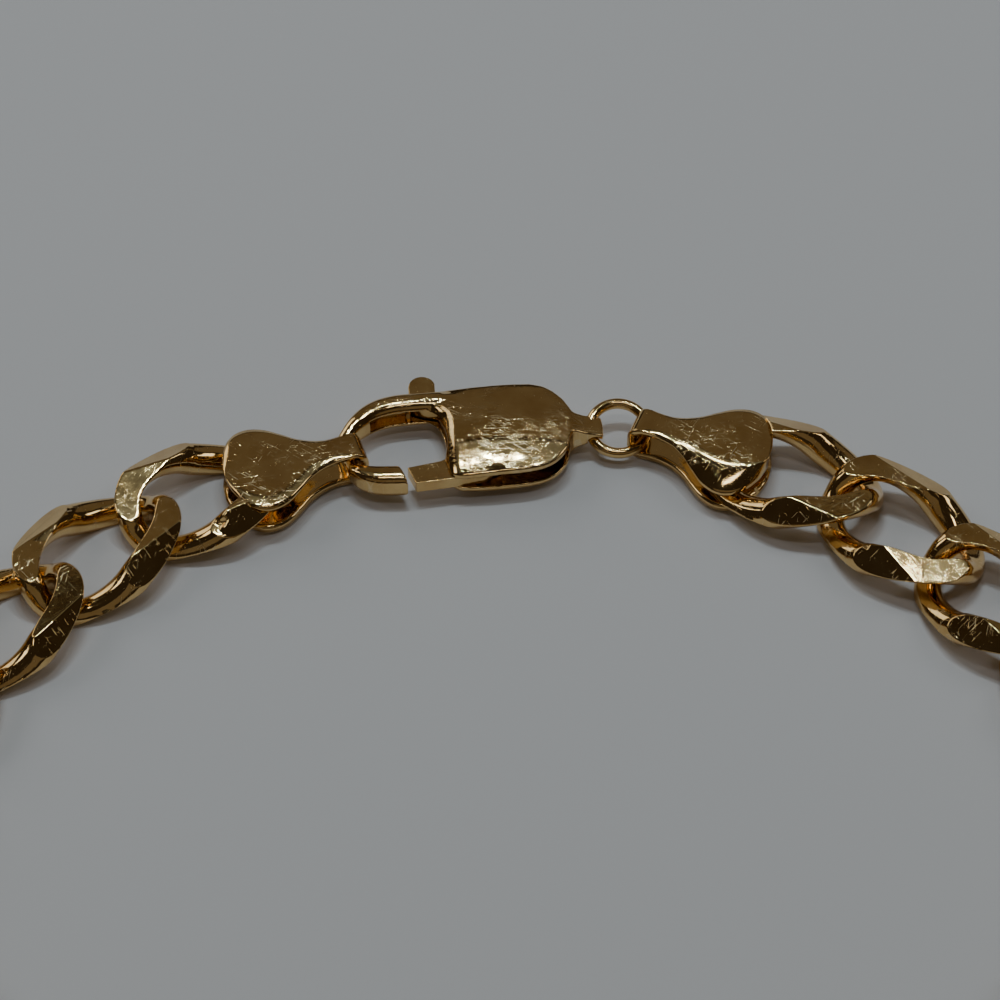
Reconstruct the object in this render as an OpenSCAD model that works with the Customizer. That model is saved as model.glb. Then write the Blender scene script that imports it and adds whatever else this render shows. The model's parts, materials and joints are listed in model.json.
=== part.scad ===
// Curb-link bracelet with a lever clasp, closed in a loop and lying on a flat surface.
// Millimetres, +Z up. The origin is under the middle of the loop, on the surface it lies on.
// The clasp is at the back of the loop (+Y), with its hook to the left (-X).

/* [Chain] */
// Number of curb links
link_count = 23; // [21:1:26]
// Length of a link over its ends
link_length = 12; // [11.6:0.1:12.6]
// Width of a link over its sides, before the cut faces
link_width = 9; // [8.6:0.1:9.4]
// Thickness of a link between its level cut faces
link_thickness = 2.8; // [2.6:0.1:3]
// Width of a link's wire
wire_width = 1.65; // [1.5:0.05:1.7]
// Height of a link's wire before the faces are cut
wire_height = 1.7; // [1.5:0.05:1.75]
// Share by which the wire is wider at the middle of a link's sides
side_swell = 0.32; // [0.2:0.01:0.34]
// Share by which it is higher there
height_swell = 0.2; // [0:0.01:0.25]
// How far a strand rises and falls from the middle of the link
link_twist = 1.2; // [1.1:0.05:1.35]
// Slope of the four side facets of a link, in degrees
facet_slope = 32; // [25:1:40]
// Share of the link's width between the upper edges of the side facets
facet_share = 0.6; // [0.54:0.01:0.66]
// How far two links that lie straight reach into each other
link_reach = 3.7; // [3.65:0.05:4]
// Pitch lost to a bend, for each square degree of it
bend_loss = 0.0007; // [0.0005:0.0001:0.0009]

/* [How the loop lies] */
// Turn of the clasp, counter-clockwise from the left-right line
clasp_turn = 5; // [0:1:10]
// Droop of the hook's end cap towards the front of the loop
hook_cap_droop = 18; // [10:0.5:22]
// Droop of the ring's end cap
ring_cap_droop = 21.5; // [15:0.5:26]
// Turn of the hook side's first link from its cap
hook_link_turn = 9; // [4:0.5:12]
// Turn of the ring side's first link from its cap
ring_link_turn = 2; // [0:0.5:8]
// First and second bend of the chain on the hook side
hook_bends = [17, 4]; // [0:1:20]
// First and second bend of the chain on the ring side
ring_bends = [20, 4]; // [0:1:20]

/* [End caps] */
// Length of an end cap
cap_length = 9.4; // [8.8:0.1:10]
// Width of an end cap's round end
cap_width = 7; // [6.6:0.1:7.4]
// Height of an end cap over its two plates
cap_height = 2.7; // [2.6:0.05:2.9]
// Thickness of an end cap's metal
cap_metal = 0.45; // [0.3:0.05:0.5]
// Distance from the hook's bar to the middle of the link its cap holds
hook_cap_seat = 9.7; // [9.5:0.1:10.3]
// Distance from the jump ring's wire to the middle of the link its cap holds
ring_cap_seat = 10.3; // [10:0.1:10.7]

/* [Jump ring] */
// Outer diameter of the jump ring
ring_diameter = 4.4; // [4.1:0.1:4.6]
// Diameter of its wire
ring_wire = 0.7; // [0.55:0.05:0.75]
// Tilt of the ring, with its far side up
ring_tilt = 13; // [5:1:18]
// Turn round the ring from the clasp's long line to where the cap hangs
ring_hang = 20; // [10:1:30]

/* [Clasp] */
// Length of the clasp
clasp_length = 16.7; // [15.5:0.1:18]
// Width of the clasp's body
clasp_width = 7.8; // [7.2:0.1:8.4]
// Thickness of the clasp over its two domed shells
clasp_thickness = 3; // [2.8:0.1:3.4]
// Thickness of the shells' metal
shell_metal = 0.4; // [0.3:0.05:0.5]
// Drop of the dome from the middle of the body to its long sides
dome_drop = 0.6; // [0.4:0.05:0.75]
// Drop of the dome from the middle of the body to its ends
end_drop = 0.35; // [0.2:0.05:0.5]
// Width of the hook's bar
hook_width = 1.6; // [1.4:0.05:1.8]
// Height of the hook's bar
hook_height = 2.2; // [2:0.1:2.4]

/* [Lever] */
// Thickness of the lever
lever_thickness = 0.9; // [0.7:0.05:1]
// Radius of the half-round thumb tab
tab_radius = 0.87; // [0.7:0.01:1]
// Diameter of the pin that the lever turns on
pin_diameter = 1; // [0.8:0.05:1.2]
// Length of the pin
pin_length = 2.3; // [2.1:0.05:2.4]
// Angle of the lever; it is shut at 0
lever_angle = 0; // [0:1:24]

/* [Fits] */
// Gap beside a piece that slides or turns
clearance = 0.1; // [0.05:0.01:0.15]

/* [Hidden] */
$fn = 48;
wire_stations = 16;
wire_sides = 6;
// A six-sided wire needs a little more width to hold the same metal as a round one.
wire_fullness = 1.06;
// The strand's rise and fall is fuller than a plain sine.
twist_power = 0.8;
path_half_length = (link_length - wire_width) / 2;
path_half_width = (link_width - wire_width * (1 + side_swell)) / 2;
link_pitch = link_length - link_reach;
link_half = link_thickness / 2;
facet_edge = facet_share * link_width / 2;
facet_foot = facet_edge + link_half / tan(facet_slope);

clasp_level = clasp_thickness / 2;
cap_level = cap_height / 2 + clearance;
cap_half = cap_height / 2;
cap_seat_gap = clearance / 2;

// Half width of an end cap along its length, as shares of its length and half width.
cap_outline = [
    [0, 0.27], [0.02, 0.3], [0.12, 0.28], [0.24, 0.3], [0.35, 0.38], [0.45, 0.53],
    [0.54, 0.73], [0.62, 0.89], [0.7, 0.98], [0.77, 1], [0.84, 0.95], [0.9, 0.82],
    [0.95, 0.6], [0.985, 0.37], [1, 0.2]
];
// Outline of the clasp's body, as shares of the clasp's length and width.
body_outline = [
    [-0.126, -0.397], [-0.102, -0.449], [-0.058, -0.481], [0.078, -0.477], [0.214, -0.456],
    [0.293, -0.39], [0.346, -0.26], [0.368, -0.109], [0.395, -0.077], [0.48, -0.077],
    [0.498, -0.051], [0.498, 0.115], [0.48, 0.141], [0.395, 0.147], [0.374, 0.205],
    [0.347, 0.321], [0.296, 0.449], [0.251, 0.494], [0.198, 0.506], [-0.06, 0.5],
    [-0.18, 0.491], [-0.18, 0.286], [-0.141, 0.205], [-0.117, 0.038], [-0.117, -0.128],
    [-0.135, -0.308]
];
// Outline of the hollow between the shells, open towards the hook and the near side.
hollow_outline = [
    [-0.2, -0.564], [0.362, -0.564], [0.362, -0.13], [0.33, 0.04], [0.312, 0.244],
    [0.251, 0.397], [0.114, 0.436], [-0.2, 0.436]
];
// Outline of the channel in the hook's far bar and of the slot the thumb tab moves in.
slot_outline = [
    [-0.431, 0.205], [-0.413, 0.333], [-0.371, 0.385], [-0.257, 0.417], [-0.257, 0.59],
    [0.114, 0.59], [0.114, 0.333], [0, 0.205]
];
// Middle line of the hook: place along and across the clasp, share of its width and height.
hook_line = [
    [-0.12, 0.391, 1.06, 1], [-0.21, 0.388, 1, 1], [-0.311, 0.376, 1, 1],
    [-0.389, 0.327, 0.94, 0.95], [-0.45, 0.231, 0.8, 0.86], [-0.496, 0.115, 0.62, 0.7],
    [-0.514, 0.013, 0.56, 0.6], [-0.489, -0.245, 0.56, 0.6], [-0.468, -0.305, 0.7, 0.72],
    [-0.437, -0.352, 0.86, 0.8], [-0.395, -0.382, 0.97, 0.85], [-0.341, -0.395, 1, 0.86],
    [-0.263, -0.401, 1, 0.86]
];
// Outline of the lever: nose, hub, arm and the root of the thumb tab.
lever_outline = [
    [-0.278, -0.309], [-0.249, -0.491], [-0.096, -0.464], [0.018, -0.436], [0.084, -0.372],
    [0.093, -0.256], [0.054, -0.141], [0.018, 0.064], [-0.012, 0.244], [-0.072, 0.372],
    [-0.14, 0.449], [-0.14, 0.59], [-0.244, 0.59], [-0.244, 0.385], [-0.198, 0.333],
    [-0.138, 0.295], [-0.105, 0.192], [-0.09, 0.026], [-0.096, -0.154], [-0.126, -0.237],
    [-0.146, -0.259]
];
tab_middle = [-0.19 * clasp_length, 0.59 * clasp_width];
pin_place = [0.018 * clasp_length, -0.282 * clasp_width];
// Where the hook's cap holds its bar, and the slanted end face of the hook.
hook_hold = [-0.501 * clasp_length, -0.12 * clasp_width];
tip_inner = [-0.315 * clasp_length, -0.286 * clasp_width];
tip_outer = [-0.279 * clasp_length, -0.503 * clasp_width];
tip_slant = atan2(tip_inner[0] - tip_outer[0], tip_inner[1] - tip_outer[1]);
ring_radius = (ring_diameter - ring_wire) / 2;
ring_middle = [0.562 * clasp_length, 0.047 * clasp_width];

// Shells: radius of the dome across the clasp and along it.
dome_radius = (pow(clasp_width / 2, 2) + pow(dome_drop, 2)) / (2 * dome_drop);
end_middle = 0.096 * clasp_length;
end_reach = 0.263 * clasp_length;
end_radius = (pow(end_reach, 2) + pow(end_drop, 2)) / (2 * end_drop);

// Lie of the chain, with the clasp's middle at zero and turned by clasp_turn.
function turned(p, a) = [p[0] * cos(a) - p[1] * sin(a), p[0] * sin(a) + p[1] * cos(a)];
function ray(a) = [cos(a), sin(a)];
function pitch_at(bend) = link_pitch - bend_loss * bend * bend;

hook_cap_heading = 180 + hook_cap_droop;
ring_cap_heading = -ring_cap_droop;
bar_half = 0.56 * hook_width / 2;
hook_hold_at = turned(hook_hold, clasp_turn);
ring_at = turned(ring_middle, clasp_turn);
ring_hold_at = ring_at + ring_radius * ray(-ring_hang);
// Reach of each cap's fold past the bar or wire that it holds, over its metal.
hook_reach = bar_half + 2 * clearance + cap_metal;
ring_reach = ring_wire / 2 + clearance + cap_metal;
hook_cap_at = hook_hold_at - hook_reach * ray(hook_cap_heading);
ring_cap_at = ring_hold_at - ring_reach * ray(ring_cap_heading);

first_heading = hook_cap_heading + hook_link_turn;
last_heading = 180 + ring_cap_heading - ring_link_turn;
first_link = hook_hold_at + hook_cap_seat * ray(hook_cap_heading);
last_link = ring_hold_at + ring_cap_seat * ray(ring_cap_heading);

// The hidden stretch bends evenly, and a little more at its ends, so that the loop closes.
hidden_joints = link_count - 5;
whole_turn = 360 + last_heading - first_heading;
shown_turn = hook_bends[0] + hook_bends[1] + ring_bends[0] + ring_bends[1];
even_bend = (whole_turn - shown_turn) / hidden_joints;
function hidden_bend(i, q) =
    even_bend + q[0] * cos(360 * (i + 0.5) / hidden_joints)
    + q[1] * sin(360 * (i + 0.5) / hidden_joints);
function all_bends(q) = concat(
    hook_bends,
    [for (i = [0:hidden_joints - 1]) hidden_bend(i, q)],
    [ring_bends[1], ring_bends[0]]
);
function lay(bends, i, at) =
    i == len(bends) ? [at] : let (
        middle = at[2] + bends[i] / 2,
        step = pitch_at(bends[i]) * ray(middle)
    ) concat([at], lay(bends, i + 1, [at[0] + step[0], at[1] + step[1], at[2] + bends[i]]));
function laid(q) = lay(all_bends(q), 0, [first_link[0], first_link[1], first_heading]);
function miss(q) = let (end = laid(q)[link_count - 1])
    [end[0] - last_link[0], end[1] - last_link[1]];
function close_loop(q, n) =
    n == 0 ? q : let (
        m = miss(q),
        a = (miss([q[0] + 0.1, q[1]]) - m) * 10,
        b = (miss([q[0], q[1] + 0.1]) - m) * 10,
        d = a[0] * b[1] - a[1] * b[0],
        s = [(m[0] * b[1] - m[1] * b[0]) / d, (a[0] * m[1] - a[1] * m[0]) / d]
    ) close_loop(q - s, n - 1);
links = laid(close_loop([4, 0], 8));

// The loop's box, which puts the origin under its middle.
function strand(t) = [
    path_half_length * cos(t),
    path_half_width * sin(t),
    -link_twist * sign(sin(2 * t)) * pow(abs(sin(2 * t)), twist_power)
];
rim = [for (l = links, t = [0:15:345]) [l[0], l[1]] + turned(strand(t), l[2])];
left_edge = min([for (p = rim) p[0]]) - wire_width / 2;
right_edge = max([for (p = rim) p[0]]) + wire_width / 2;
front_edge = min([for (p = rim) p[1]]) - wire_width / 2;
back_edge = turned(tab_middle, clasp_turn)[1] + tab_radius;
shift = [-(left_edge + right_edge) / 2, -(front_edge + back_edge) / 2];

function is_first(i) = i == 0;
function is_last(i) = i == link_count - 1;
function link_level(i) = link_half + ((is_first(i) || is_last(i)) ? clearance : 0);
function link_name(i) = str("link_", i < 9 ? "0" : "", i + 1);
link_names = [for (i = [0:link_count - 1]) link_name(i)];
other_names = [
    "hook_end_cap", "ring_end_cap", "jump_ring", "clasp_body", "clasp_lever", "lever_pin"
];

gold = [0.83, 0.64, 0.3];
pale_gold = [0.9, 0.72, 0.4];

function scaled(outline) = [for (p = outline) [p[0] * clasp_length, p[1] * clasp_width]];

// A closed or open tube of rings of points, with its faces in triangles.
module tube(rings, closed) {
    n = len(rings);
    k = len(rings[0]);
    last = closed ? n - 1 : n - 2;
    sides = [for (i = [0:last], j = [0:k - 1]) let (
        a = i * k + j,
        b = i * k + (j + 1) % k,
        c = ((i + 1) % n) * k + j,
        d = ((i + 1) % n) * k + (j + 1) % k
    ) each [[a, b, d], [a, d, c]]];
    ends = closed ? [] : [
        [for (j = [0:k - 1]) k - 1 - j],
        [for (j = [0:k - 1]) (n - 1) * k + j]
    ];
    polyhedron(points = [for (r = rings) each r], faces = concat(sides, ends), convexity = 6);
}

function unit(v) = v / norm(v);
function level_side(v) = unit([-v[1], v[0], 0]);
function wire_ring(t) = let (
    at = strand(t),
    along = unit(strand(t + 3) - strand(t - 3)),
    side = level_side(along),
    up = cross(along, side),
    swell = pow(sin(t), 2),
    wide = wire_fullness / 2 * wire_width * (1 + side_swell * swell),
    high = wire_fullness / 2 * wire_height * (1 + height_swell * swell)
) [for (j = [0:wire_sides - 1]) let (a = 360 * j / wire_sides)
    at + wide * cos(a) * side - high * sin(a) * up];

module link_wire() {
    tube([for (i = [0:wire_stations - 1]) wire_ring(360 * i / wire_stations)], true);
}

// The bar that the flat faces and side facets are cut to.
module facet_bar() {
    rotate([90, 0, 90])
        linear_extrude(2 * link_length, center = true)
            polygon([
                [-facet_edge, -link_half], [facet_edge, -link_half], [facet_foot, 0],
                [facet_edge, link_half], [-facet_edge, link_half], [-facet_foot, 0]
            ]);
}

module curb_link() {
    color(gold)
        intersection() {
            link_wire();
            facet_bar();
        }
}

module placed_link(i) {
    translate([shift[0] + links[i][0], shift[1] + links[i][1], link_level(i)])
        rotate([0, 0, links[i][2]])
            curb_link();
}

function cap_points(extra) = concat(
    [for (p = cap_outline) [p[0] * cap_length, p[1] * cap_width / 2 + extra]],
    [for (j = [1:len(cap_outline)]) let (p = cap_outline[len(cap_outline) - j])
        [p[0] * cap_length + (p[0] == 1 ? extra : 0), -p[1] * cap_width / 2 - extra]]
);

// A strip with round corners at its start, seen from the side.
module fold_side(half, corner, start) {
    union() {
        translate([start + corner, -half])
            square([2 * cap_length, 2 * half]);
        translate([start, -half + corner])
            square([2 * corner, 2 * half - 2 * corner]);
        for (s = [-1, 1])
            translate([start + corner, s * (half - corner)])
                circle(corner);
    }
}

module end_cap() {
    color(gold)
        intersection() {
            linear_extrude(2 * cap_height, center = true)
                polygon(cap_points(0));
            rotate([90, 0, 0])
                linear_extrude(2 * cap_width, center = true)
                    difference() {
                        fold_side(cap_half, 0.7 * cap_half, 0);
                        fold_side(cap_half - cap_metal, 0.5 * cap_half, cap_metal);
                    }
        }
}

module at_hook_cap() {
    translate([shift[0] + hook_cap_at[0], shift[1] + hook_cap_at[1], cap_level])
        rotate([0, 0, hook_cap_heading])
            children();
}

module at_ring_cap() {
    translate([shift[0] + ring_cap_at[0], shift[1] + ring_cap_at[1], cap_level])
        rotate([0, 0, ring_cap_heading])
            children();
}

// The two flat seats filed on an end link for its cap's plates.
module cap_seats() {
    for (s = [-1, 1])
        translate([0, 0, s * (cap_half + link_half - cap_metal - cap_seat_gap)])
            linear_extrude(2 * link_half, center = true)
                polygon(cap_points(cap_seat_gap));
}

module first_curb_link() {
    difference() {
        placed_link(0);
        at_hook_cap()
            cap_seats();
    }
}

module last_curb_link() {
    difference() {
        placed_link(link_count - 1);
        at_ring_cap()
            cap_seats();
    }
}

module at_clasp() {
    translate([shift[0], shift[1], clasp_level])
        rotate([0, 0, clasp_turn])
            children();
}

// The jump ring, or the round way it needs through a piece that holds it.
module ring_torus(extra) {
    translate([ring_middle[0], ring_middle[1], -2 * clearance])
        rotate([ring_tilt, 0, 0])
            rotate_extrude($fn = 96)
                translate([ring_radius, 0])
                    circle(ring_wire / 2 + extra, $fn = 24);
}

module jump_ring() {
    color(pale_gold)
        ring_torus(0);
}

module ring_end_cap() {
    difference() {
        at_ring_cap()
            end_cap();
        at_clasp()
            ring_torus(clearance / 2);
    }
}

// Space between an upper and a lower dome, across the clasp and along it.
module dome(inset) {
    half = clasp_thickness / 2 - inset;
    across = dome_radius - inset;
    along = end_radius - inset;
    intersection_for (s = [-1, 1]) {
        intersection() {
            translate([0, 0, s * (half - across)])
                rotate([0, 90, 0])
                    cylinder(h = 2 * clasp_length, r = across, center = true, $fn = 120);
            translate([end_middle, 0, s * (half - along)])
                rotate([90, 0, 0])
                    cylinder(h = 2 * clasp_length, r = along, center = true, $fn = 120);
        }
    }
}

function bar_ring(i) = let (
    p = hook_line[i],
    before = hook_line[max(i - 1, 0)],
    after = hook_line[min(i + 1, len(hook_line) - 1)],
    at = [p[0] * clasp_length, p[1] * clasp_width, 0],
    along = [(after[0] - before[0]) * clasp_length, (after[1] - before[1]) * clasp_width, 0],
    side = level_side(along),
    w = p[2] * hook_width / 2,
    h = p[3] * hook_height / 2
) [for (q = bar_section) at + q[0] * w * side - [0, 0, q[1] * h]];
// Section of the hook's bar, as shares of its half width and half height.
bar_section = [
    [1, 0.45], [0.85, 0.78], [0.5, 0.96], [0, 1], [-0.5, 0.96], [-0.85, 0.78],
    [-1, 0.45], [-1, -0.45], [-0.85, -0.78], [-0.5, -0.96], [0, -1], [0.5, -0.96],
    [0.85, -0.78], [1, -0.45]
];

module hook_bar() {
    difference() {
        tube([for (i = [0:len(hook_line) - 1]) bar_ring(i)], false);
        translate([tip_inner[0], tip_inner[1], 0])
            rotate([0, 0, -tip_slant])
                translate([0, -clasp_width, -clasp_thickness])
                    cube([clasp_length / 4, 1.5 * clasp_width, 2 * clasp_thickness]);
    }
}

module lever_slot() {
    linear_extrude(lever_thickness + 2 * clearance, center = true)
        polygon(scaled(slot_outline));
}

module clasp_body() {
    color(gold)
        difference() {
            union() {
                intersection() {
                    linear_extrude(2 * clasp_thickness, center = true)
                        polygon(scaled(body_outline));
                    dome(0);
                }
                hook_bar();
            }
            intersection() {
                linear_extrude(2 * clasp_thickness, center = true)
                    polygon(scaled(hollow_outline));
                dome(shell_metal);
            }
            lever_slot();
            ring_torus(clearance / 2);
            translate([pin_place[0], pin_place[1], 0])
                cylinder(h = pin_length + clearance / 2, d = pin_diameter + clearance / 2, center = true);
        }
}

module clasp_lever() {
    color(pale_gold)
        translate([pin_place[0], pin_place[1], 0])
            rotate([0, 0, -lever_angle])
                translate([-pin_place[0], -pin_place[1], 0])
                    difference() {
                        linear_extrude(lever_thickness, center = true)
                            union() {
                                polygon(scaled(lever_outline));
                                translate(tab_middle)
                                    circle(tab_radius);
                            }
                        translate([pin_place[0], pin_place[1], 0])
                            cylinder(
                                h = 2 * lever_thickness,
                                d = pin_diameter + 1.6 * clearance,
                                center = true
                            );
                    }
}

module lever_pin() {
    color(gold)
        translate([pin_place[0], pin_place[1], 0])
            cylinder(h = pin_length, d = pin_diameter, center = true);
}

for (i = [1:link_count - 2])
    placed_link(i);
first_curb_link();
last_curb_link();
at_hook_cap() end_cap();  // hook_end_cap
ring_end_cap();
at_clasp() jump_ring();
at_clasp() clasp_body();
at_clasp() clasp_lever();
at_clasp() lever_pin();
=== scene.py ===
# %% [markdown]
# # A gold curb-link bracelet with a lever clasp
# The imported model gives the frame: every piece of the bracelet, at its real size and place.
# This lesson dresses it. Each piece is made again with finer shapes, rides on the same body
# and replaces its plain solid.

# %% Load the frame
import json
import math

import bmesh
import bpy
from mathutils import Matrix, Vector, noise

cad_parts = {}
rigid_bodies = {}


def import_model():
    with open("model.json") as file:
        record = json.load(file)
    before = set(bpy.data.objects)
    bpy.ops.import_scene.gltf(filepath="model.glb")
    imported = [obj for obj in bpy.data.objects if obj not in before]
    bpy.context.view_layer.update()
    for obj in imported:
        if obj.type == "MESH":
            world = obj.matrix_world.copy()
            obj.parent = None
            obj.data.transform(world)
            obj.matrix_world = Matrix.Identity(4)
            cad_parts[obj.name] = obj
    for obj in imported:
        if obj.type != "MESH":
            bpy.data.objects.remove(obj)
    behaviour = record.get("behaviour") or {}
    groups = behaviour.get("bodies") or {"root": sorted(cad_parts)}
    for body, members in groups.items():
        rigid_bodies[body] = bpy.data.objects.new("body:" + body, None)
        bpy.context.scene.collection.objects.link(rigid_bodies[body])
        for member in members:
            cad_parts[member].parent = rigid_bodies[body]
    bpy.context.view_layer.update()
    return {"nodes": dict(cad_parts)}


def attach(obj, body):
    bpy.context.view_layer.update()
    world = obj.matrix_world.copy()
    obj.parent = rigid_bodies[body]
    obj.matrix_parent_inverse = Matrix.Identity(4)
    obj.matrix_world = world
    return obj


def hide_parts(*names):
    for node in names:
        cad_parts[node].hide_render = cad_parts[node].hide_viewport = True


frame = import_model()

# %% [markdown]
# ## The camera
# The photograph looks down on the clasp at 49 degrees, from close by with a long lens, so the
# rest of the loop runs out of the picture at the bottom. The camera looks at a point a little
# in front of the clasp.

# %% Camera
mm = 0.001
look_at = Vector((-0.155, 26.24, 1.2)) * mm
camera_height_angle = math.radians(49)
camera_distance = 290 * mm
camera_data = bpy.data.cameras.new("camera")
camera_data.sensor_width = 36
camera_data.lens = 161.8
camera_data.clip_start = 0.01
camera_data.clip_end = 20
camera = bpy.data.objects.new("camera", camera_data)
camera.location = look_at + camera_distance * Vector(
    (0, -math.cos(camera_height_angle), math.sin(camera_height_angle)))
camera.rotation_euler = (math.pi / 2 - camera_height_angle, 0, 0)
bpy.context.scene.collection.objects.link(camera)
bpy.context.scene.camera = camera
print("camera at", [round(c, 4) for c in camera.location])

# %% [markdown]
# ## Shader maths
# A material is a graph of nodes. To read like a formula, one small class wraps a socket:
# sums and products of it add their Math nodes, and `node` makes any other node.

# %% Wire: one value in a material
class Wire:
    def __init__(self, tree, socket):
        self.tree = tree
        self.socket = socket

    def node(self, kind, settings=None, sockets=None, out=0):
        made = self.tree.nodes.new(kind)
        for name, value in (settings or {}).items():
            setattr(made, name, value)
        for name, value in (sockets or {}).items():
            if isinstance(value, Wire):
                self.tree.links.new(value.socket, made.inputs[name])
            else:
                made.inputs[name].default_value = value
        return Wire(self.tree, made.outputs[out] if len(made.outputs) else None)

    def maths(self, how, left, right):
        return self.node("ShaderNodeMath", {"operation": how}, {0: left, 1: right})

    def __add__(self, other):
        return self.maths("ADD", self, other)

    __radd__ = __add__

    def __sub__(self, other):
        return self.maths("SUBTRACT", self, other)

    def __rsub__(self, other):
        return self.maths("SUBTRACT", other, self)

    def __mul__(self, other):
        return self.maths("MULTIPLY", self, other)

    __rmul__ = __mul__

    def or_larger(self, other):
        return self.maths("MAXIMUM", self, other)

    def lines_above(self, low, high):
        return self.node("ShaderNodeMapRange", {"clamp": True},
                         {"Value": self, "From Min": low, "From Max": high})

    def noise(self, size, detail=2.0, turn=0.0, shift=(0, 0, 0)):
        """Noise whose blots have that size; a turned pattern is turned first, then stretched."""
        where = self.node("ShaderNodeMapping", {"vector_type": "TEXTURE"},
                          {"Vector": self, "Scale": size, "Location": shift,
                           "Rotation": (0, 0, math.radians(turn))})
        return self.node("ShaderNodeTexNoise", None,
                         {"Vector": where, "Scale": 1.0, "Detail": detail})

    def mixed(self, first, second):
        return self.node("ShaderNodeMix", {"data_type": "RGBA"},
                         {0: self, 6: first, 7: second}, out=2)


def new_finish(name):
    material = bpy.data.materials.new(name)
    material.use_nodes = True
    tree = material.node_tree
    tree.nodes.clear()
    start = Wire(tree, None)
    in_metres = start.node("ShaderNodeTexCoord", out=3)
    in_mm = start.node("ShaderNodeVectorMath", {"operation": "SCALE"},
                       {0: in_metres, 3: 1 / mm})
    return material, in_mm


def closed_finish(material, start, sockets):
    shader = start.node("ShaderNodeBsdfPrincipled", None, sockets)
    start.node("ShaderNodeOutputMaterial", None, {"Surface": shader})
    return material


print("shader class ready")

# %% [markdown]
# ## Gold
# Worn polished gold is a metal with a low, uneven roughness. Its surface is a little wavy,
# covered with hair-fine scratches, and pitted with small dents that catch the light.
# Every detail has its real size in millimetres, and feeds colour, roughness and a bump.
# The scratches are a bump and a rougher floor, and their colour is painted a little paler as well:
# a painted glint that makes them show as bright lines.

# %% Colours and depths of wear, in mm
yellow_gold = (0.82, 0.57, 0.25, 1)
deep_gold = (0.66, 0.41, 0.15, 1)
# Pale gold is painted into the scratch lines as a glint.
glint_gold = (0.92, 0.78, 0.5, 1)
scratch_width, scratch_depth, scratch_glint_paleness = 0.05, 0.003, 0.5
wave_depth, ripple_depth, grain_depth, dent_depth = 0.04, 0.01, 0.001, 0.02
smear_roughness, scratch_roughness = 0.05, 0.24


# %% Scratches in patches
def scratches(where, turns, length, low):
    """One set of fine lines for each angle in turns, fewer of them as low rises."""
    scratch_and_glint_lines = None
    for number, turn in enumerate(turns):
        apart = 7.3 * number
        lines = where.noise((length, scratch_width, 2.0), 0.0, turn, (apart, 2 * apart, 0))
        lines = lines.lines_above(low, low + 0.06)
        scratch_and_glint_lines = lines if scratch_and_glint_lines is None else scratch_and_glint_lines.or_larger(lines)
    patches = where.noise((2.6, 2.6, 2.6), 2.0, 0, (9, 2, 4)).lines_above(0.4, 0.62)
    return scratch_and_glint_lines * patches


# %% Gold finishes
def gold_finish(name, turns, scratch_low=0.7, length=1.0, dents=0.5, ripple=1.0,
                grain=1.0, base_roughness=0.055):
    material, where = new_finish(name)
    tone = where.noise((1.8, 1.8, 1.8), 3.0).lines_above(0.4, 0.75)
    scratch_and_glint_lines = scratches(where, turns, length, scratch_low)
    # The scratch lines are real wear, painted paler here as a painted glint.
    colour = (scratch_and_glint_lines * scratch_glint_paleness).mixed(tone.mixed(yellow_gold, deep_gold), glint_gold)
    smear = where.noise((0.7, 0.7, 0.7), 4.0, 0, (5, 1, 3)).lines_above(0.4, 0.8)
    specks = where.noise((0.13, 0.13, 0.13), 1.0, 0, (2, 6, 1)).lines_above(0.7, 0.78)
    marks = scratch_and_glint_lines.or_larger(specks)
    roughness = base_roughness + smear * smear_roughness + marks * scratch_roughness
    wave = where.noise((2.2, 2.2, 2.2), 1.0, 0, (3, 1, 2))
    ripples = where.noise((0.42, 0.42, 0.42), 1.5, 0, (1, 4, 2))
    grains = where.noise((0.09, 0.09, 0.09), 1.0)
    cells = where.node("ShaderNodeTexVoronoi", {"feature": "F1"},
                       {"Vector": where, "Scale": 1.5, "Randomness": 1.0})
    dent = 1 - cells.lines_above(0.03, 0.1)
    height = (wave * (wave_depth * ripple) + ripples * (ripple_depth * ripple)
              + grains * (grain_depth * grain) - scratch_and_glint_lines * scratch_depth
              - dent * (dent_depth * dents))
    bump = where.node("ShaderNodeBump", None,
                      {"Strength": 1.0, "Distance": mm, "Height": height})
    return closed_finish(material, where, {
        "Base Color": colour, "Roughness": roughness, "Metallic": 1.0, "Normal": bump})


# %% One finish for each kind of piece
link_gold = gold_finish("link gold", (35, -50, 80), scratch_low=0.745, length=1.1,
                        dents=0.08, ripple=0.28, grain=1.2)
cap_gold = gold_finish("cap gold", (60, -35, 10), scratch_low=0.725, length=0.8,
                       dents=0.6, ripple=0.5, grain=2.4)
clasp_gold = gold_finish("clasp gold", (4, 9, -32), scratch_low=0.672,
                         dents=0.9, ripple=0.4, grain=1.4, base_roughness=0.04)
lever_gold = gold_finish("lever gold", (20, -60), dents=0.3, grain=2.5, base_roughness=0.12)
ring_gold = gold_finish("ring gold", (15,), scratch_low=0.72, dents=0.2, ripple=0.4)
print("finishes", [m.name for m in bpy.data.materials if "gold" in m.name])

# %% [markdown]
# ## Floor and light
# A plain pale floor, and soft studio light: softboxes above and beside the bracelet, and a row
# of small lamps that the clasp's dome shows as points. Polished metal shows what is round
# it, so between the bright boxes the room is dim and warm.

# %% Floor
floor_mesh = bpy.data.meshes.new("floor")
sheet = bmesh.new()
bmesh.ops.create_grid(sheet, x_segments=1, y_segments=1, size=3.0)
sheet.to_mesh(floor_mesh)
sheet.free()
floor = bpy.data.objects.new("floor", floor_mesh)
bpy.context.scene.collection.objects.link(floor)
floor_paint, floor_place = new_finish("pale floor")
floor_mesh.materials.append(closed_finish(floor_paint, floor_place, {
    "Base Color": (0.745, 0.728, 0.725, 1), "Roughness": 0.8}))

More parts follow.
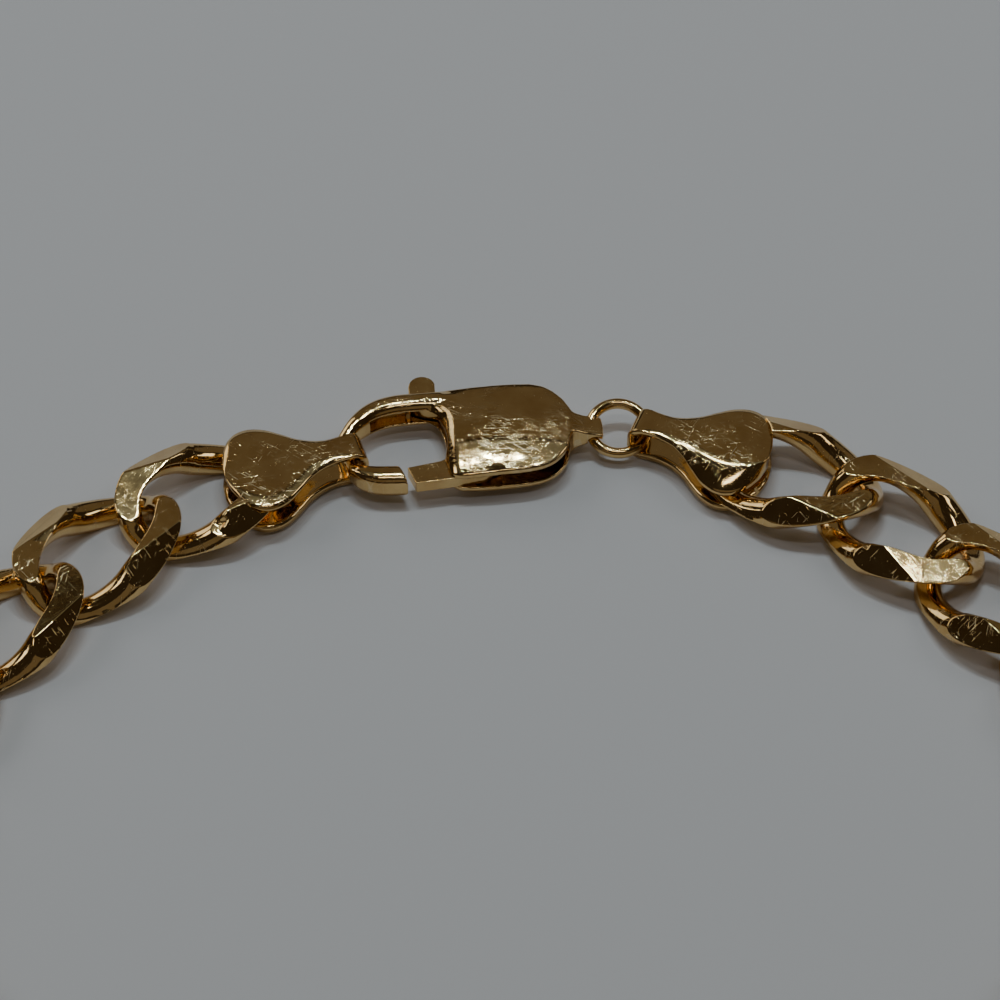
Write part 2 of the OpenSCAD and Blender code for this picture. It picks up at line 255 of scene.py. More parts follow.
# %% Softboxes and room
def light_at(name, shape, azimuth, height_angle, distance, size, radiance, tint=(1, 1, 1)):
    """An area light that faces the clasp, with the same radiance at any size."""
    lamp = bpy.data.lights.new(name, "AREA")
    lamp.shape = shape
    lamp.size, lamp.size_y = size
    area = size[0] * size[1] * (math.pi / 4 if shape == "DISK" else 1)
    lamp.energy = radiance * math.pi * area
    lamp.color = tint
    holder = bpy.data.objects.new(name, lamp)
    a, e = math.radians(azimuth), math.radians(height_angle)
    way = Vector((math.sin(a) * math.cos(e), math.cos(a) * math.cos(e), math.sin(e)))
    holder.location = look_at + distance * way
    holder.rotation_euler = way.to_track_quat("Z", "Y").to_euler()
    bpy.context.scene.collection.objects.link(holder)


cool, warm = (0.76, 0.91, 1), (1, 0.88, 0.68)
small_lamp_azimuths, small_lamp_size = (-34, -22, -8, 2, 18, 45), (0.021, 0.021)
light_at("key softbox", "RECTANGLE", 0, 69, 0.6, (0.6, 0.18), 0.13, cool)
light_at("overhead softbox", "RECTANGLE", 180, 81, 0.8, (0.28, 0.06), 6)
light_at("back softbox", "RECTANGLE", 0, 36, 0.8, (1.4, 0.64), 0.085, warm)
light_at("front softbox", "RECTANGLE", 180, 33, 0.8, (1.4, 0.45), 0.1, warm)
light_at("left back softbox", "RECTANGLE", -42, 28, 0.7, (0.28, 0.35), 1.3)
light_at("left softbox", "RECTANGLE", -75, 40, 0.7, (0.12, 0.3), 2.2)
light_at("right softbox", "RECTANGLE", 75, 40, 0.7, (0.12, 0.3), 2.2)
for number, azimuth in enumerate(small_lamp_azimuths):
    light_at(f"small lamp {number + 1}", "DISK", azimuth, 71 + 2 * (number % 2), 0.58,
             small_lamp_size, 120, cool)
world = bpy.data.worlds.new("dim room")
world.use_nodes = True
background = world.node_tree.nodes["Background"]
background.inputs["Color"].default_value = (0.024, 0.019, 0.014, 1)
background.inputs["Strength"].default_value = 1.0
bpy.context.scene.world = world
print("lights", len(bpy.data.lights))

# %% [markdown]
# ## How the loop lies
# The chain is laid link by link from the hook's cap round to the ring's cap. Each link follows
# its neighbour at a fixed pitch and turns a little. The first bends on each side are those
# of the photograph. Two values shape the hidden ones so that the last link meets its cap,
# and a few Newton steps find them.

# %% Lay the chain
link_count = 23
link_length, link_reach, bend_loss = 12, 3.7, 0.0007
link_pitch = link_length - link_reach
clasp_length, clasp_width, clasp_thickness = 16.7, 7.8, 3.0
clasp_turn, hook_cap_droop, ring_cap_droop = 5, 18, 21.5
hook_link_turn, ring_link_turn = 9, 2
hook_bends, ring_bends = [17, 4], [20, 4]
hook_cap_seat, ring_cap_seat = 9.7, 10.3
ring_diameter, ring_wire, ring_hang = 4.4, 0.7, 20
clearance, cap_metal = 0.1, 0.45
hook_width, hook_end_share = 1.6, 0.56
hook_share, ring_share = (-0.501, -0.12), (0.562, 0.047)
clasp_middle = Vector((-1.73835, 31.1884))


def ray(angle):
    return Vector((math.cos(math.radians(angle)), math.sin(math.radians(angle))))


def on_clasp(share):
    x, y = share[0] * clasp_length, share[1] * clasp_width
    return x * ray(clasp_turn) + y * ray(clasp_turn + 90)


hook_cap_heading, ring_cap_heading = 180 + hook_cap_droop, -ring_cap_droop
hook_hold = on_clasp(hook_share)
ring_hold = on_clasp(ring_share) + (ring_diameter - ring_wire) / 2 * ray(-ring_hang)
hook_reach = hook_end_share * hook_width / 2 + 2 * clearance + cap_metal
ring_reach = ring_wire / 2 + clearance + cap_metal
hook_cap_place = hook_hold - hook_reach * ray(hook_cap_heading) + clasp_middle
ring_cap_place = ring_hold - ring_reach * ray(ring_cap_heading) + clasp_middle
first_link = hook_hold + hook_cap_seat * ray(hook_cap_heading) + clasp_middle
last_link = ring_hold + ring_cap_seat * ray(ring_cap_heading) + clasp_middle
first_heading = hook_cap_heading + hook_link_turn
last_heading = 180 + ring_cap_heading - ring_link_turn
hidden_joints = link_count - 5
even_bend = (360 + last_heading - first_heading - sum(hook_bends + ring_bends)) / hidden_joints


def lay(bow, lean):
    at, heading = first_link.copy(), first_heading
    places = [(at.copy(), heading)]
    steps = [math.radians(360 * (i + 0.5) / hidden_joints) for i in range(hidden_joints)]
    hidden = [even_bend + bow * math.cos(s) + lean * math.sin(s) for s in steps]
    for bend in hook_bends + hidden + ring_bends[::-1]:
        at = at + (link_pitch - bend_loss * bend * bend) * ray(heading + bend / 2)
        heading += bend
        places.append((at.copy(), heading))
    return places


bow, lean, step = 4.0, 0.0, 0.1
for _ in range(8):
    miss = lay(bow, lean)[-1][0] - last_link
    by_bow = (lay(bow + step, lean)[-1][0] - last_link - miss) / step
    by_lean = (lay(bow, lean + step)[-1][0] - last_link - miss) / step
    area = by_bow.x * by_lean.y - by_bow.y * by_lean.x
    bow -= (miss.x * by_lean.y - miss.y * by_lean.x) / area
    lean -= (by_bow.x * miss.y - by_bow.y * miss.x) / area
link_places = lay(bow, lean)
print("chain closes with bow", round(bow, 3), "and lean", round(lean, 3))

# %% [markdown]
# ## Helpers for pieces
# Pieces are made in millimetres about their own middle, then put in place by moving the mesh,
# so the object itself stays at the origin. Smooth faces next to flat cut ones need
# face-weighted normals, which the Weighted Normal modifier gives. Parts are cut and joined
# by Boolean modifiers, and a remesh evens out a shape before or after that.

# %% Finish a piece
def placed(x, y, z, heading):
    return Matrix.Translation((x, y, z)) @ Matrix.Rotation(math.radians(heading), 4, "Z")


def add_piece(name, mesh, place, body, node, finish):
    mesh.transform(Matrix.Scale(mm, 4) @ place)
    mesh.name = name
    mesh.materials.clear()
    mesh.materials.append(finish)
    mesh.shade_smooth()
    piece = bpy.data.objects.new(name, mesh)
    bpy.context.scene.collection.objects.link(piece)
    weighted = piece.modifiers.new("face weighted normals", "WEIGHTED_NORMAL")
    weighted.keep_sharp = False
    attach(piece, body)
    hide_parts(node)
    return piece


def to_mesh(bm, name="making"):
    bmesh.ops.recalc_face_normals(bm, faces=bm.faces[:])
    if bm.calc_volume(signed=True) < 0:
        bmesh.ops.reverse_faces(bm, faces=bm.faces[:])
    mesh = bpy.data.meshes.new(name)
    bm.to_mesh(mesh)
    bm.free()
    return mesh


def combined(mesh, other, how):
    """One mesh cut or joined with another by a Boolean modifier."""
    scene_objects = bpy.context.scene.collection.objects
    kept = bpy.data.objects.new("kept", mesh)
    tool = bpy.data.objects.new("tool", other)
    scene_objects.link(kept)
    scene_objects.link(tool)
    boolean = kept.modifiers.new(how, "BOOLEAN")
    boolean.operation, boolean.solver, boolean.object = how, "EXACT", tool
    graph = bpy.context.evaluated_depsgraph_get()
    result = bpy.data.meshes.new_from_object(kept.evaluated_get(graph))
    for helper in (kept, tool):
        bpy.data.objects.remove(helper)
    return result


def rounded(mesh, voxel, passes):
    """The mesh remade in even small faces, with its sharp edges worn round."""
    worn = bpy.data.objects.new("worn", mesh)
    bpy.context.scene.collection.objects.link(worn)
    remesh = worn.modifiers.new("even faces", "REMESH")
    remesh.mode, remesh.voxel_size = "VOXEL", voxel
    smooth = worn.modifiers.new("wear", "SMOOTH")
    smooth.factor, smooth.iterations = 0.5, passes
    graph = bpy.context.evaluated_depsgraph_get()
    result = bpy.data.meshes.new_from_object(worn.evaluated_get(graph))
    bpy.data.objects.remove(worn)
    return result


def eased(points, steps, closed=True):
    """A smooth line through the points of an outline."""
    count = len(points)
    line = []
    for i in range(count if closed else count - 1):
        near = (i - 1, i, i + 1, i + 2)
        near = [k % count if closed else min(max(k, 0), count - 1) for k in near]
        a, b, c, d = (Vector(points[k]) for k in near)
        for step in range(steps):
            t = step / steps
            line.append(0.5 * (2 * b + (c - a) * t + (2 * a - 5 * b + 4 * c - d) * t * t
                               + (3 * b - a - 3 * c + d) * t ** 3))
    if not closed:
        line.append(Vector(points[-1]))
    return line


def drawn_face(bm, outline):
    corners = [bm.verts.new((p[0], p[1], 0)) for p in outline]
    return bm.faces.new(corners)


def flat_plate(outline, low, high):
    """A plate of that outline between two heights."""
    bm = bmesh.new()
    drawn_face(bm, outline)
    raised = bmesh.ops.extrude_face_region(bm, geom=bm.faces[:])["geom"]
    tops = {v for v in raised if isinstance(v, bmesh.types.BMVert)}
    for v in bm.verts:
        v.co.z = high if v in tops else low
    bm.normal_update()
    return bm


def spun_ring(wire_radius, ring_radius, sides, steps):
    """A ring of round wire: a circle spun once round the Z axis."""
    bm = bmesh.new()
    bmesh.ops.create_circle(bm, segments=sides, radius=wire_radius, matrix=Matrix.Translation(
        (ring_radius, 0, 0)) @ Matrix.Rotation(math.pi / 2, 4, "X"))
    bmesh.ops.spin(bm, geom=bm.verts[:] + bm.edges[:], cent=(0, 0, 0), axis=(0, 0, 1),
                   angle=2 * math.pi, steps=steps, use_merge=True)
    return bm


print("helpers ready")

# %% [markdown]
# ## Curb links
# A curb link is an oval ring of wire, twisted so that its four quarters lie alternately high
# and low, then cut flat above and below and on its four outer slopes. It could be cut by
# Boolean planes, but pressing the points beyond a plane onto it keeps the mesh whole. So a
# plain ring is spun, pressed oval, twisted by moving its points, and pressed flat. A narrow
# bevel wears the cut edges, which is where the real link catches the light.

# %% Sizes of a link
link_width, link_thickness = 9.0, 2.8
wire_width, wire_height, link_twist, twist_power = 1.65, 1.7, 1.2, 0.8
side_swell, height_swell = 0.32, 0.2
facet_slope, facet_share = 32, 0.6
facet_twist, edge_wear, sharp_edge = 0.05, 0.05, 14
same_point = 0.012
half_length = (link_length - wire_width) / 2
half_width = (link_width - wire_width * (1 + side_swell)) / 2
ring_steps, wire_sides = 84, 22


def strand(t):
    rise = math.sin(2 * t)
    return Vector((half_length * math.cos(t), half_width * math.sin(t),
                   -link_twist * math.copysign(abs(rise) ** twist_power, rise)))


# %% Make a link
def twisted_ring():
    """A plain ring whose points are moved from their circle to the link's strand."""
    spun_radius = 10
    bm = spun_ring(1, spun_radius, wire_sides, ring_steps)
    for v in bm.verts:
        t = math.atan2(v.co.y, v.co.x)
        out, up = math.hypot(v.co.x, v.co.y) - spun_radius, v.co.z
        along = (strand(t + 0.05) - strand(t - 0.05)).normalized()
        side = Vector((along.y, -along.x, 0)).normalized()
        over = side.cross(along)
        swell = math.sin(t) ** 2
        v.co = (strand(t) + out * wire_width / 2 * (1 + side_swell * swell) * side
                + up * wire_height / 2 * (1 + height_swell * swell) * over)
    return bm


def cut_facet(bm, point, normal, inside):
    """Press what is beyond the plane flat onto it, as a file would leave it."""
    touching = 0.0005
    bmesh.ops.bisect_plane(bm, geom=bm.verts[:] + bm.edges[:] + bm.faces[:], dist=touching,
                           plane_co=point, plane_no=normal)
    flat = set()
    for v in bm.verts:
        beyond = (v.co - Vector(point)).dot(normal)
        if beyond > -1.2 * touching and inside(v.co):
            v.co -= beyond * normal
            flat.add(v)
    cut = [f for f in bm.faces if all(v in flat for v in f.verts)]
    return bmesh.ops.dissolve_faces(bm, faces=cut, use_verts=True)["region"]


# %% How the cut faces lean
# Lean towards the front of the upper level faces, in degrees, at a link's two ends, by the
# link's number from 0. The links that the photograph doesn't show lean each its own way.
front_leans = {0: (10, 3), 1: (3, 1), 2: (2, 4), 20: (1, 3), 21: (4, 10), 22: (2, 4)}
level_along, level_across, level_reach = 0.6, 0.55, 1.2


def level_cut(number, up, end, heading):
    """Point and normal of a level cut; the lower ones stay level, to lie on the floor."""
    middle = Vector((end * level_along * half_length, -end * up * level_across * half_width,
                     up * link_thickness / 2))
    if up < 0:
        return middle, Vector((0, 0, -1))
    leans = front_leans.get(number)
    if leans is None:
        leans = [2 + 4 * noise.noise((number * 1.7, side * 3.1, 0.5)) for side in (1, 2)]
    lean = math.radians(leans[0 if end > 0 else 1])
    middle.z -= level_reach * abs(math.tan(lean))
    front = math.radians(-90 - heading)
    return middle, Vector((math.sin(lean) * math.cos(front),
                           math.sin(lean) * math.sin(front), math.cos(lean)))


# %% Cut and wear a link
def curb_link(number, heading):
    bm = twisted_ring()
    slope = math.radians(facet_slope)
    edge = facet_share * link_width / 2
    half = link_thickness / 2
    cuts = 0
    for up in (1, -1):
        for end in (1, -1):
            point, normal = level_cut(number, up, end, heading)
            cuts += len(cut_facet(bm, point, normal,
                                  lambda p: p.x * end > 0.1 and p.z * up > 0.3))
        for side in (1, -1):
            lean = facet_twist * noise.noise((number * 2.3, up * 1.3, side * 4.1))
            way = Vector((lean, side * math.sin(slope), up * math.cos(slope))).normalized()
            cuts += len(cut_facet(bm, (0, side * edge, up * half), way,
                                  lambda p: p.y * side > 0.5))
    bmesh.ops.remove_doubles(bm, verts=bm.verts[:], dist=same_point)
    rims = [e for e in bm.edges if len(e.link_faces) == 2
            and max(len(f.verts) for f in e.link_faces) > 4
            and e.calc_face_angle(0) > math.radians(sharp_edge)]
    bmesh.ops.bevel(bm, geom=rims, offset=edge_wear, offset_type="OFFSET", segments=2,
                    profile=0.5, affect="EDGES", material=-1, clamp_overlap=False)
    bmesh.ops.dissolve_degenerate(bm, edges=bm.edges[:], dist=0.001)
    return bm, cuts


# %% [markdown]
# ## End caps
# Each end cap is a spoon-shaped blank folded in two round the hook or the jump ring. It could
# be two plates and a bent strip, but the real one is a single strip, so a flat grid is laid
# along the blank's middle line, round the fold and back, and each row is as wide as the
# blank is there. The near third of the ring's cap is bent down, as in the photograph.
# Solidify gives the metal, and a bevel rounds its rim.

# %% Sizes of a cap
cap_length, cap_width, cap_height = 9.4, 7, 2.7
cap_outline = [
    (0, 0.27), (0.02, 0.3), (0.12, 0.28), (0.24, 0.3), (0.35, 0.38), (0.45, 0.53),
    (0.54, 0.73), (0.62, 0.89), (0.7, 0.98), (0.77, 1), (0.84, 0.95), (0.9, 0.82),
    (0.95, 0.6), (0.985, 0.35), (1, 0)
]
even_rows, crowding = 0.35, 0.8
fold_round, flat_run = 0.7, 1.5
rim_drop, tip_drop, tip_start, cap_rim_wear = 0.2, 4, 0.7, 0.14
bend_line, bend_depth, bend_power = 0.4, 1.25, 1.1
bend_start, bend_run = 3.5, 2.5


def cap_half_width(share):
    """Half width of the blank; the squares are eased, so the tip comes out round."""
    for i in range(len(cap_outline) - 1):
        (x0, w0), (x1, w1) = cap_outline[i], cap_outline[i + 1]
        if share <= x1:
            t = min(max((share - x0) / (x1 - x0), 0), 1)
            before = cap_outline[max(i - 1, 0)][1] ** 2
            after = cap_outline[min(i + 2, len(cap_outline) - 1)][1] ** 2
            a, b = w0 ** 2, w1 ** 2
            square = 0.5 * (2 * a + (b - before) * t + (2 * before - 5 * a + 4 * b - after)
                            * t * t + (3 * a - before - 3 * b + after) * t ** 3)
            return math.sqrt(max(square, 0)) * cap_width / 2
    return 0.0


# %% Make a cap
def end_cap(bent):
    bm = bmesh.new()
    rows, columns = 120, 20
    bmesh.ops.create_grid(bm, x_segments=rows, y_segments=columns, size=1)
    half = cap_height / 2
    corner = fold_round * half
    straight = cap_length - corner
    wall = 2 * (half - corner)
    arc = corner * math.pi / 2
    total = 2 * straight + 2 * arc + wall
    for v in bm.verts:
        share, across = abs(v.co.x), v.co.y
        upper = 1 if v.co.x < 0 else -1
        crowded = math.sin(share * math.pi / 2) ** crowding
        run = (even_rows * share + (1 - even_rows) * crowded) * total / 2
        if run < wall / 2:
            x, z = 0.0, run
        elif run < wall / 2 + arc:
            turn = (run - wall / 2) / corner
            x, z = corner * (1 - math.cos(turn)), wall / 2 + corner * math.sin(turn)
        else:
            x, z = corner + run - wall / 2 - arc, half
        width = cap_half_width(x / cap_length)
        flat = min(max((x - corner) / flat_run, 0), 1)
        near_tip = max(x / cap_length - tip_start, 0)
        drop = flat * (rim_drop * across ** 4 + tip_drop * near_tip ** 3)
        if upper > 0 and bent and across < -bend_line:
            along = min(max((x - bend_start) / bend_run, 0), 1)
            drop += flat * bend_depth * (-across - bend_line) ** bend_power * along
        v.co = (x, across * width, upper * (z - drop))
    bmesh.ops.remove_doubles(bm, verts=bm.verts[:], dist=0.004)
    # Solidify thickens inwards, so the sheet's outer side has to point out first.
    bmesh.ops.recalc_face_normals(bm, faces=bm.faces[:])
    highest = max(bm.faces, key=lambda f: f.calc_center_median().z)
    if highest.normal.z < 0:
        bmesh.ops.reverse_faces(bm, faces=bm.faces[:])
    bmesh.ops.solidify(bm, geom=bm.faces[:], thickness=cap_metal)
    rims = [e for e in bm.edges if len(e.link_faces) == 2
            and e.calc_face_angle(0) > math.radians(50)]
    bmesh.ops.bevel(bm, geom=rims, offset=cap_rim_wear, offset_type="OFFSET", segments=4,
                    profile=0.5, affect="EDGES", material=-1, clamp_overlap=True)
    bmesh.ops.dissolve_degenerate(bm, edges=bm.edges[:], dist=0.001)
    return bm


cap_level = cap_height / 2 + clearance
for name, at, heading, bent in (
        ("hook_end_cap", hook_cap_place, hook_cap_heading, False),
        ("ring_end_cap", ring_cap_place, ring_cap_heading, True)):
    cap = add_piece("folded_" + name, to_mesh(end_cap(bent)),
                    placed(at.x, at.y, cap_level, heading), "bracelet", name,
                    cap_gold)
    print(cap.name, len(cap.data.polygons), "faces")

# %% [markdown]
# ## Links in their places
# The same link is made twenty-three times, each with its own slight leans. The two end links
# are filed thinner where their cap's plates grip them, so that the plates lie on top. They
# are remade in even faces first, because a Boolean needs a clean closed mesh.

# %% Filed seats
seat_steps, seat_margin, seat_gap = 40, 0.04, 0.12
seat_face_size, seat_wear = 0.07, 1


def filed_for_cap(mesh, place, cap_place):
    """The link's mesh with a flat seat above and below, cut to the cap's outline."""
    rows = [row / seat_steps for row in range(seat_steps + 1)]
    side = [(row * cap_length, cap_half_width(row) + seat_margin) for row in rows]
    outline = side + [(x, -w) for x, w in side[::-1]]
    plate_under = cap_height / 2 - cap_metal - seat_gap
    mesh = rounded(mesh, seat_face_size, seat_wear)
    for up in (1, -1):
        above = plate_under + link_thickness
        filing = to_mesh(flat_plate(outline, plate_under * up, above * up))
        filing.transform(place.inverted() @ cap_place)
        mesh = combined(mesh, filing, "DIFFERENCE")
    return mesh


# %% Set the links in place
cap_places = {
    0: placed(hook_cap_place.x, hook_cap_place.y, cap_level, hook_cap_heading),
    link_count - 1: placed(ring_cap_place.x, ring_cap_place.y, cap_level, ring_cap_heading)
}
for i, (at, heading) in enumerate(link_places):
    name = f"link_{i + 1:02d}"
    bm, cuts = curb_link(i, heading)
    mesh = to_mesh(bm)
    lift = clearance if i in cap_places else 0
    place = placed(at.x, at.y, link_thickness / 2 + lift, heading)
    if i in cap_places:
        mesh = filed_for_cap(mesh, place, cap_places[i])
    piece = add_piece("gold_" + name, mesh, place, "bracelet", name, link_gold)
    i < 3

# %% [markdown]
# ## Jump ring
# The jump ring is round wire bent into a ring and soldered shut: a circle spun once round.
# It leans a little, because its cap holds its far side down. A fatter ring in the same
# place drills the clasp's eye.

# %% Make the jump ring
ring_tilt, ring_sides, ring_turn_steps = 13, 24, 96
ring_radius = (ring_diameter - ring_wire) / 2
clasp_place = placed(clasp_middle.x, clasp_middle.y, clasp_thickness / 2, clasp_turn)
ring_lean = (Matrix.Translation((ring_share[0] * clasp_length, ring_share[1] * clasp_width,
                                 -2 * clearance))
             @ Matrix.Rotation(math.radians(ring_tilt), 4, "X"))
ring_bm = spun_ring(ring_wire / 2, ring_radius, ring_sides, ring_turn_steps)
ring = add_piece("round_jump_ring", to_mesh(ring_bm), clasp_place @ ring_lean, "bracelet",
                 "jump_ring", ring_gold)
print(ring.name, len(ring.data.polygons), "faces")

# %% [markdown]
# ## Clasp body
# The clasp is two pressed shells soldered together, hollow between, with a hook's bar that
# comes out of the far side and turns back, and a small eye at the tail. The outline is drawn
# and sliced into a fine net, so that its points can rise to the dome. The hook is a section
# pulled along its line. Then the parts are joined and hollowed, and the whole is
# remade in even faces and smoothed, which wears every edge the way use does. Bevels could
# do that too, but they break where a dome, a bar and a hollow meet at a slant.

# %% Outlines of the clasp
body_outline = [
    (-0.126, -0.397), (-0.102, -0.449), (-0.058, -0.481), (0.078, -0.477), (0.214, -0.456),
    (0.293, -0.39), (0.346, -0.26), (0.368, -0.109), (0.395, -0.077), (0.48, -0.077),
    (0.498, -0.051), (0.498, 0.115), (0.48, 0.141), (0.395, 0.147), (0.374, 0.205),
    (0.347, 0.321), (0.296, 0.449), (0.251, 0.494), (0.198, 0.506), (-0.06, 0.5),
    (-0.18, 0.491), (-0.18, 0.286), (-0.141, 0.205), (-0.117, 0.038), (-0.117, -0.128),
    (-0.135, -0.308)
]
hollow_outline = [
    (-0.2, -0.564), (0.362, -0.564), (0.362, -0.13), (0.33, 0.04), (0.312, 0.244),
    (0.251, 0.397), (0.114, 0.436), (-0.2, 0.436)
]
slot_outline = [
    (-0.431, 0.205), (-0.413, 0.333), (-0.371, 0.385), (-0.257, 0.417), (-0.257, 0.59),
    (0.114, 0.59), (0.114, 0.333), (0, 0.205)
]
hook_line = [
    (-0.12, 0.391, 1.03, 0.96), (-0.21, 0.388, 1, 1), (-0.311, 0.376, 1, 1),
    (-0.389, 0.327, 0.94, 0.95), (-0.45, 0.231, 0.8, 0.86), (-0.496, 0.115, 0.62, 0.7),
    (-0.514, 0.013, 0.56, 0.6), (-0.489, -0.245, 0.56, 0.6), (-0.468, -0.305, 0.7, 0.72),
    (-0.437, -0.352, 0.86, 0.8), (-0.395, -0.382, 0.97, 0.85), (-0.341, -0.395, 1, 0.86),
    (-0.263, -0.401, 1, 0.86)
]
shell_metal, dome_drop = 0.4, 0.6
hook_height = 2.2
lever_thickness = 0.9


def in_mm(outline):
    return [(x * clasp_length, y * clasp_width) for x, y in outline]


# %% Domed solids
dome_radius = ((clasp_width / 2) ** 2 + dome_drop ** 2) / (2 * dome_drop)
end_middle, end_radius = 0.096 * clasp_length, 25
tail_start, tail_drop, thinnest = 0.37 * clasp_length, 0.3, 0.2


def dome_height(x, y, inset):
    """Height of the shell, or of the hollow under it, at that point of the clasp."""
    across, along = dome_radius - inset, end_radius - inset
    over_width = math.sqrt(max(across ** 2 - y ** 2, 0)) - across
    over_length = math.sqrt(max(along ** 2 - (x - end_middle) ** 2, 0)) - along
    tail = min(max(x - tail_start, 0), 1)
    top = clasp_thickness / 2 - inset
    return max(top + over_width + over_length - tail_drop * tail, thinnest)


def solid_between(outline, height, net):
    """A sheet of that outline, sliced into a net, with a face at +height and one at -height."""
    bm = bmesh.new()
    drawn_face(bm, outline)
    for axis in (0, 1):
        low, high = min(p[axis] for p in outline), max(p[axis] for p in outline)
        normal = (1, 0, 0) if axis == 0 else (0, 1, 0)
        for step in range(1, int((high - low) / net) + 1):
            at = low + step * net
            bmesh.ops.bisect_plane(bm, geom=bm.verts[:] + bm.edges[:] + bm.faces[:],
                                   plane_co=[at * c for c in normal], plane_no=normal)
    raised = bmesh.ops.extrude_face_region(bm, geom=bm.faces[:])["geom"]
    tops = {v for v in raised if isinstance(v, bmesh.types.BMVert)}
    for v in bm.verts:
        v.co.z = height(v.co.x, v.co.y) * (1 if v in tops else -1)
    return to_mesh(bm)


def pulled_bar(line, width, height):
    """A rounded section pulled along the hook's middle line."""
    quarter = [(1, 0.3), (0.97, 0.5), (0.88, 0.68), (0.72, 0.83), (0.5, 0.93), (0.25, 0.98), (0, 1)]
    ring = quarter + [(-a, b) for a, b in quarter[-2::-1]]
    ring += [(-a, -b) for a, b in ring]
    stations = eased(line, 6, closed=False)
    bm = bmesh.new()
    face = drawn_face(bm, ring)
    made = []
    for number in range(len(stations)):
        if number:
            grown = bmesh.ops.extrude_face_region(bm, geom=[face])["geom"]
            face = next(f for f in grown if isinstance(f, bmesh.types.BMFace))
        made.append(face.verts[:])
    for number, verts in enumerate(made):
        here = stations[number]
        before, after = stations[max(number - 1, 0)], stations[min(number + 1, len(made) - 1)]
        along = Vector(((after[0] - before[0]) * clasp_length,
                        (after[1] - before[1]) * clasp_width)).normalized()
        for v, (a, b) in zip(verts, ring):
            out = a * here[2] * width / 2
            v.co = (here[0] * clasp_length - along.y * out,
                    here[1] * clasp_width + along.x * out, b * here[3] * height / 2)
    return bm


print("dome radius", round(dome_radius, 2), "mm")

# %% Where the dome meets the opening and the bar
opening_edge, edge_round, edge_fall = -0.128 * clasp_length, 0.75, 0.5
corner_middle, corner_round = (-3.3, 0.9), 1.2
bar_middle, bar_half_width = 0.391 * clasp_width, 0.52 * hook_width
bar_sink, bar_run, blend = 0.5, 0.2 * clasp_length, 0.12


def worn_dome(x, y):
    """The dome, rolled down round the hook's opening, with the bar's round top running in."""
    away = math.hypot(max(x - corner_middle[0], 0), max(y - corner_middle[1], 0)) - corner_round
    near_edge = max(1 - away / edge_round, 0)
    dome = dome_height(x, y, 0) - edge_fall * near_edge ** 2
    over = (y - bar_middle) / bar_half_width
    sunk = min(max((x - opening_edge) / bar_run, 0), 1)
    bar = hook_height / 2 * math.sqrt(max(1 - over ** 2, 0)) - bar_sink * sunk
    return 0.5 * (dome + bar + math.hypot(dome - bar, blend)) - blend / 4


def under_shell(x, y):
    under = min(dome_height(x, y, shell_metal), worn_dome(x, y) - shell_metal)
    return max(under, thinnest)


# %% Hook's bar, with its tip cut off on a slant
tip_inner, tip_outer = (Vector((x, y, 0)) for x, y in in_mm([(-0.315, -0.286), (-0.279, -0.503)]))
slant = (tip_outer - tip_inner).normalized()
block_size = 4
beyond = Matrix.Translation(
    tip_inner + block_size / 2 * Vector((-slant.y, slant.x, 0)) + slant)
block = bmesh.new()
bmesh.ops.create_cube(block, size=block_size, matrix=beyond @ Matrix.Rotation(
    math.atan2(slant.y, slant.x), 4, "Z"))
bar = combined(to_mesh(pulled_bar(hook_line, hook_width, hook_height)), to_mesh(block),
               "DIFFERENCE")
print("bar", len(bar.polygons), "faces")

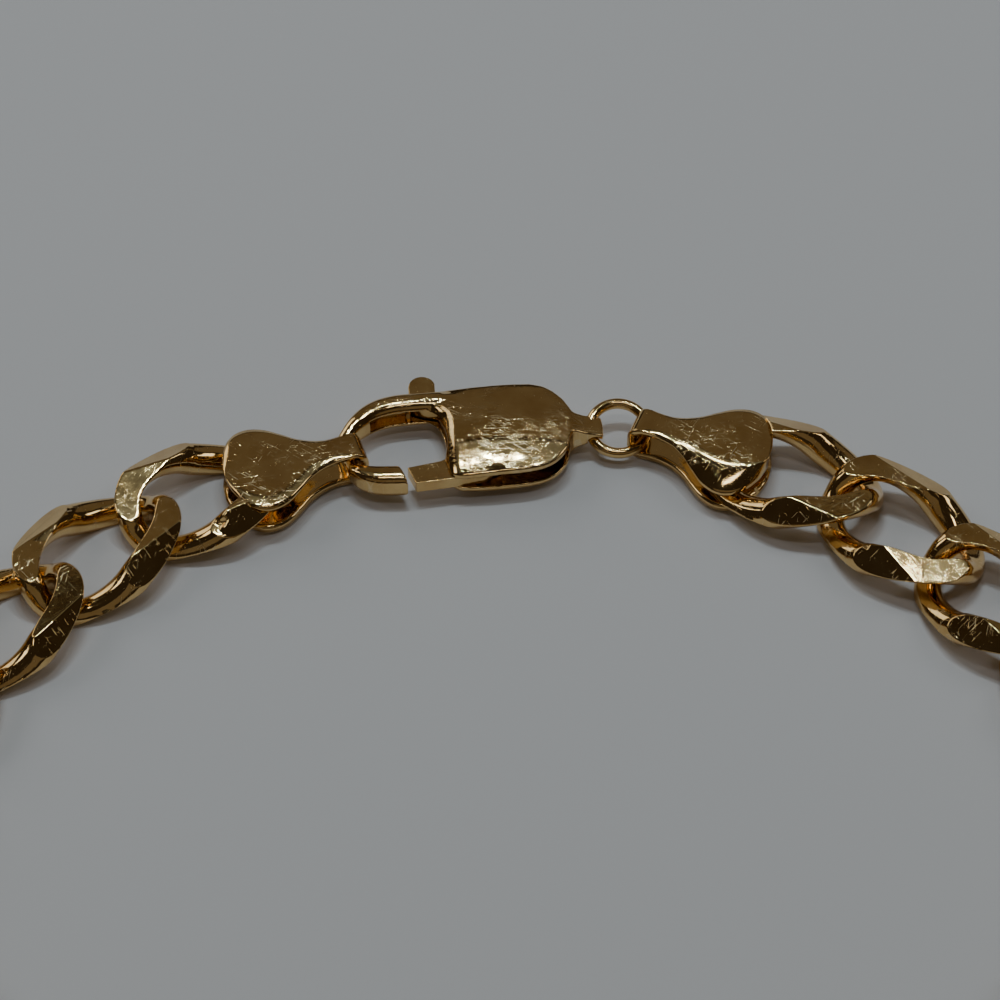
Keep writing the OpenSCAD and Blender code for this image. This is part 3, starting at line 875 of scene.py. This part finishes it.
# %% Join, hollow and wear the clasp
outline_steps, body_net, hollow_net = 5, 0.14, 0.4
eye_gap, eye_turn_steps = 0.08, 64
clasp_face_size, clasp_wear = 0.069, 13
body = solid_between([tuple(p) for p in eased(in_mm(body_outline), outline_steps)],
                     worn_dome, body_net)
clasp = combined(body, bar, "UNION")
hollow = solid_between(in_mm(hollow_outline), under_shell, hollow_net)
clasp = combined(clasp, hollow, "DIFFERENCE")
slot_half = lever_thickness / 2 + clearance
slot = to_mesh(flat_plate(in_mm(slot_outline), -slot_half, slot_half))
clasp = combined(clasp, slot, "DIFFERENCE")
eye = to_mesh(spun_ring(ring_wire / 2 + eye_gap, ring_radius, ring_sides, eye_turn_steps))
eye.transform(ring_lean)
clasp = combined(clasp, eye, "DIFFERENCE")
clasp = rounded(clasp, clasp_face_size, clasp_wear)
piece = add_piece("domed_clasp_body", clasp, clasp_place, "bracelet", "clasp_body",
                  clasp_gold)
print(piece.name, len(piece.data.polygons), "faces")

# %% [markdown]
# ## Lever
# The lever is one flat plate: a nose that shuts the hook, a hub on the pin, an arm hidden in
# the clasp and a half-round thumb tab. Its outline is drawn, raised to its thickness, and
# its edges bevelled, as a stamped plate's are. It rides on its own body, so it swings open
# at the poses.

# %% Make the lever
lever_outline = [
    (-0.278, -0.309), (-0.249, -0.491), (-0.096, -0.464), (0.018, -0.436), (0.084, -0.372),
    (0.093, -0.256), (0.054, -0.141), (0.018, 0.064), (-0.012, 0.244), (-0.072, 0.372),
    (-0.14, 0.449), (-0.14, 0.59)
]
lever_inside = [
    (-0.244, 0.59), (-0.244, 0.385), (-0.198, 0.333),
    (-0.138, 0.295), (-0.105, 0.192), (-0.09, 0.026), (-0.096, -0.154), (-0.126, -0.237),
    (-0.146, -0.259)
]
tab_radius, tab_steps, lever_edge_wear = 0.87, 24, 0.06
tab_x, tab_y = -0.19 * clasp_length, 0.59 * clasp_width
tab_angles = [math.pi * step / tab_steps for step in range(1, tab_steps)]
tab_arc = [(tab_x + tab_radius * math.cos(a), tab_y + tab_radius * math.sin(a))
           for a in tab_angles]
plate = flat_plate(in_mm(lever_outline) + tab_arc + in_mm(lever_inside),
                   -lever_thickness / 2, lever_thickness / 2)
rims = [e for e in plate.edges if e.calc_face_angle(0) > math.radians(25)]
bmesh.ops.bevel(plate, geom=rims, offset=lever_edge_wear, offset_type="OFFSET", segments=2,
                profile=0.5, affect="EDGES", material=-1, clamp_overlap=True)
lever = add_piece("flat_clasp_lever", to_mesh(plate), clasp_place, "lever", "clasp_lever",
                  lever_gold)
frame["nodes"]["lever_pin"].data.materials.clear()
frame["nodes"]["lever_pin"].data.materials.append(lever_gold)
print(lever.name, len(lever.data.polygons), "faces")
